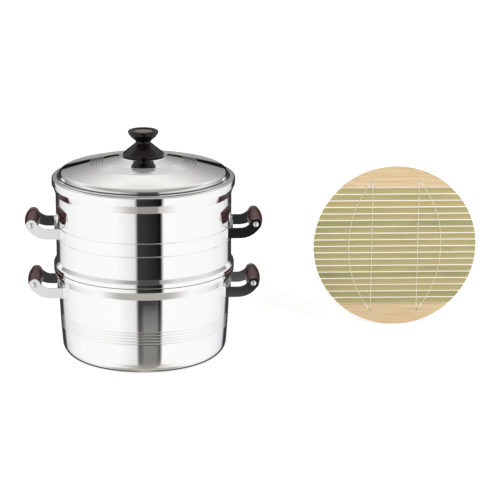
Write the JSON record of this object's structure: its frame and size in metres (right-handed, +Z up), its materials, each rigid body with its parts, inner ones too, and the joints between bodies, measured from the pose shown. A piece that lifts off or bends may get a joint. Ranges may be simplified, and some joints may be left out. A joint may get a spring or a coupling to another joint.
{
  "type": "steamer pot",
  "caption": "Stacked steamer of polished metal: water pot, perforated steaming tier, domed lid with a turned knob, wooden-grip strap handles and a round slatted bamboo mat.",
  "frame": {"origin": "middle of the pot's flat foot, on the table", "axes": "+Z up, +X to the right handle and the mat, -Y to the front"},
  "size_m": [0.7492, 0.2938, 0.3672],
  "materials": {
    "polished_metal": "mirror polished, spun sheet",
    "satin_metal": "satin dome with polished skirt and rings",
    "strap_metal": "polished flat strap",
    "fastener_metal": "bright",
    "grip_wood": "dark red-brown stain under gloss lacquer",
    "knob_phenolic": "gloss black-brown phenolic",
    "board_wood": "bare pale wood",
    "bamboo": "split bamboo, green skin side",
    "string": "twisted cotton string"
  },
  "bodies": {
    "pot": {"pot_body": "polished_metal", "pot_bracket_left": "strap_metal", "pot_bracket_right": "strap_metal", "pot_grip_left": "grip_wood", "pot_grip_right": "grip_wood", "pot_rod_left": "fastener_metal", "pot_rod_right": "fastener_metal", "pot_rivets_left": "fastener_metal", "pot_rivets_right": "fastener_metal"},
    "steamer": {"steamer_body": "polished_metal", "steamer_bracket_left": "strap_metal", "steamer_bracket_right": "strap_metal", "steamer_grip_left": "grip_wood", "steamer_grip_right": "grip_wood", "steamer_rod_left": "fastener_metal", "steamer_rod_right": "fastener_metal", "steamer_rivets_left": "fastener_metal", "steamer_rivets_right": "fastener_metal"},
    "lid": {"lid_body": "satin_metal", "lid_knob": "knob_phenolic", "lid_screw": "fastener_metal", "lid_washer": "fastener_metal"},
    "mat": {"mat_board_bottom": "board_wood", "mat_board_top": "board_wood", "mat_slat_01": "bamboo", "mat_slat_02": "bamboo", "mat_slat_03": "bamboo", "mat_slat_04": "bamboo", "mat_slat_05": "bamboo", "mat_slat_06": "bamboo", "mat_slat_07": "bamboo", "mat_slat_08": "bamboo", "mat_slat_09": "bamboo", "mat_slat_10": "bamboo", "mat_slat_11": "bamboo", "mat_slat_12": "bamboo", "mat_slat_13": "bamboo", "mat_slat_14": "bamboo", "mat_slat_15": "bamboo", "mat_slat_16": "bamboo", "mat_slat_17": "bamboo", "mat_slat_18": "bamboo", "mat_string_1": "string", "mat_string_2": "string", "mat_string_3": "string", "mat_string_4": "string"}
  },
  "joints": [
    {"name": "steamer_lift", "type": "slide", "parent": "pot", "child": "steamer", "axis": [0, 0, 1], "range_m": [0, 0.2]},
    {"name": "lid_lift", "type": "slide", "parent": "steamer", "child": "lid", "axis": [0, 0, 1], "range_m": [0, 0.2]},
    {"name": "mat_lift", "type": "slide", "parent": "pot", "child": "mat", "axis": [0, 0, 1], "range_m": [0, 0.3]}
  ]
}
